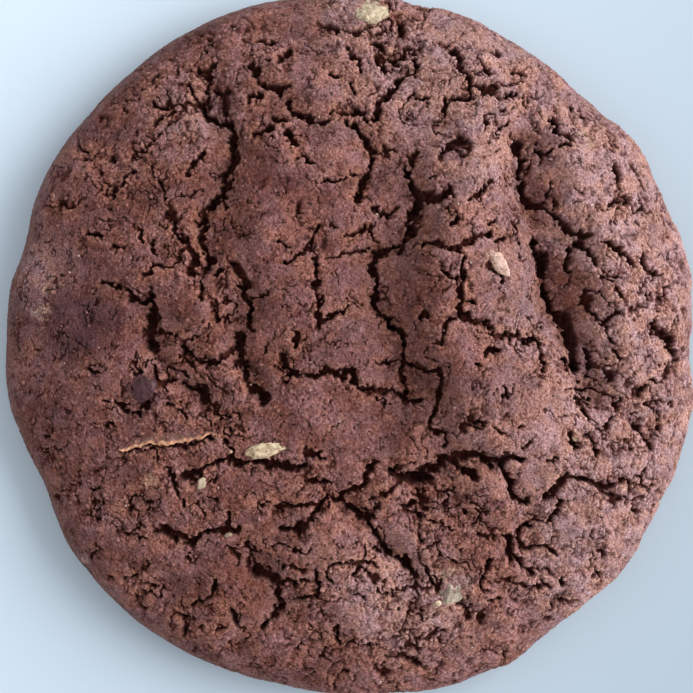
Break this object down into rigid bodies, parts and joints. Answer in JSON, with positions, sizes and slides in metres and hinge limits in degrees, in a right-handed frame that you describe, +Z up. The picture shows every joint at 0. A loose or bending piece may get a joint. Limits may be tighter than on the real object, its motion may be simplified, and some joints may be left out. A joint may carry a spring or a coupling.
{
  "type": "chocolate cookie",
  "caption": "Thick round fudge cookie with a domed, cracked and crumbly cocoa crust, pale nut pieces baked in, and a flat base.",
  "frame": {"origin": "middle of the flat base, on the surface the cookie lies on", "axes": "+Z up through the crown; +Y towards the top of the picture, +X towards its right"},
  "size_m": [0.0859, 0.0871, 0.0168],
  "materials": {
    "baked_crumb": "dull baked cocoa crust, cracked and grainy",
    "nut_flesh": "pale cream nut, cut and dusted with cocoa crumb",
    "dark_chocolate": "dark chocolate chunk, satin",
    "sugar_grain": "small light sugar crystals"
  },
  "bodies": {
    "root": {"cookie": "baked_crumb"}
  },
  "joints": []
}
